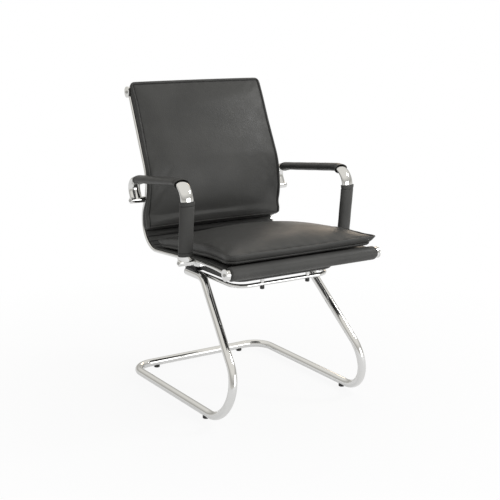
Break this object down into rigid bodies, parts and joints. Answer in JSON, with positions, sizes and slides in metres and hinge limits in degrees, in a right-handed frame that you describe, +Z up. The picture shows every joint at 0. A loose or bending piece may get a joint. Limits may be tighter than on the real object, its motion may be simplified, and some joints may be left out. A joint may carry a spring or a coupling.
{
  "type": "cantilever visitor chair",
  "caption": "Cantilever visitor chair on a bent chrome tube, with slim side rails, a leather sling seat and back with padded cushions, and sleeved chrome arms.",
  "frame": {"origin": "on the floor, under the middle of the chair's box", "axes": "+Z up; the chair faces -Y; +X is to the right when the chair is seen from the front"},
  "size_m": [0.6032, 0.654, 0.9339],
  "materials": {
    "chrome": "polished",
    "steel": "plain steel",
    "plate_paint": "black paint",
    "leather": "soft sheen, fine grain",
    "sling_leather": "soft sheen, fine grain",
    "sleeve_leather": "soft sheen, fine grain",
    "black_plastic": "matte",
    "board": "black lacquered board"
  },
  "bodies": {
    "root": {"rail_right": "chrome", "rail_left": "chrome", "end_caps": "chrome", "arm_right": "chrome", "arm_left": "chrome", "base_tube": "chrome", "seat_support_bar": "chrome", "bolt_spacers": "chrome", "front_cross_member": "chrome", "rear_cross_member": "chrome", "back_bar": "chrome", "front_cross_tube": "steel", "top_cross_tube": "steel", "end_cap_screws": "steel", "arm_bolts": "steel", "seat_bolts": "steel", "plate_screws": "steel", "member_screws": "steel", "mount_plates": "plate_paint", "seat_pad": "leather", "back_pad": "leather", "sling": "sling_leather", "post_sleeve_right": "sleeve_leather", "post_sleeve_left": "sleeve_leather", "top_sleeve_right": "sleeve_leather", "top_sleeve_left": "sleeve_leather", "floor_glides": "black_plastic", "bolt_caps": "black_plastic", "tube_plugs": "black_plastic", "seat_board": "board"}
  },
  "joints": []
}
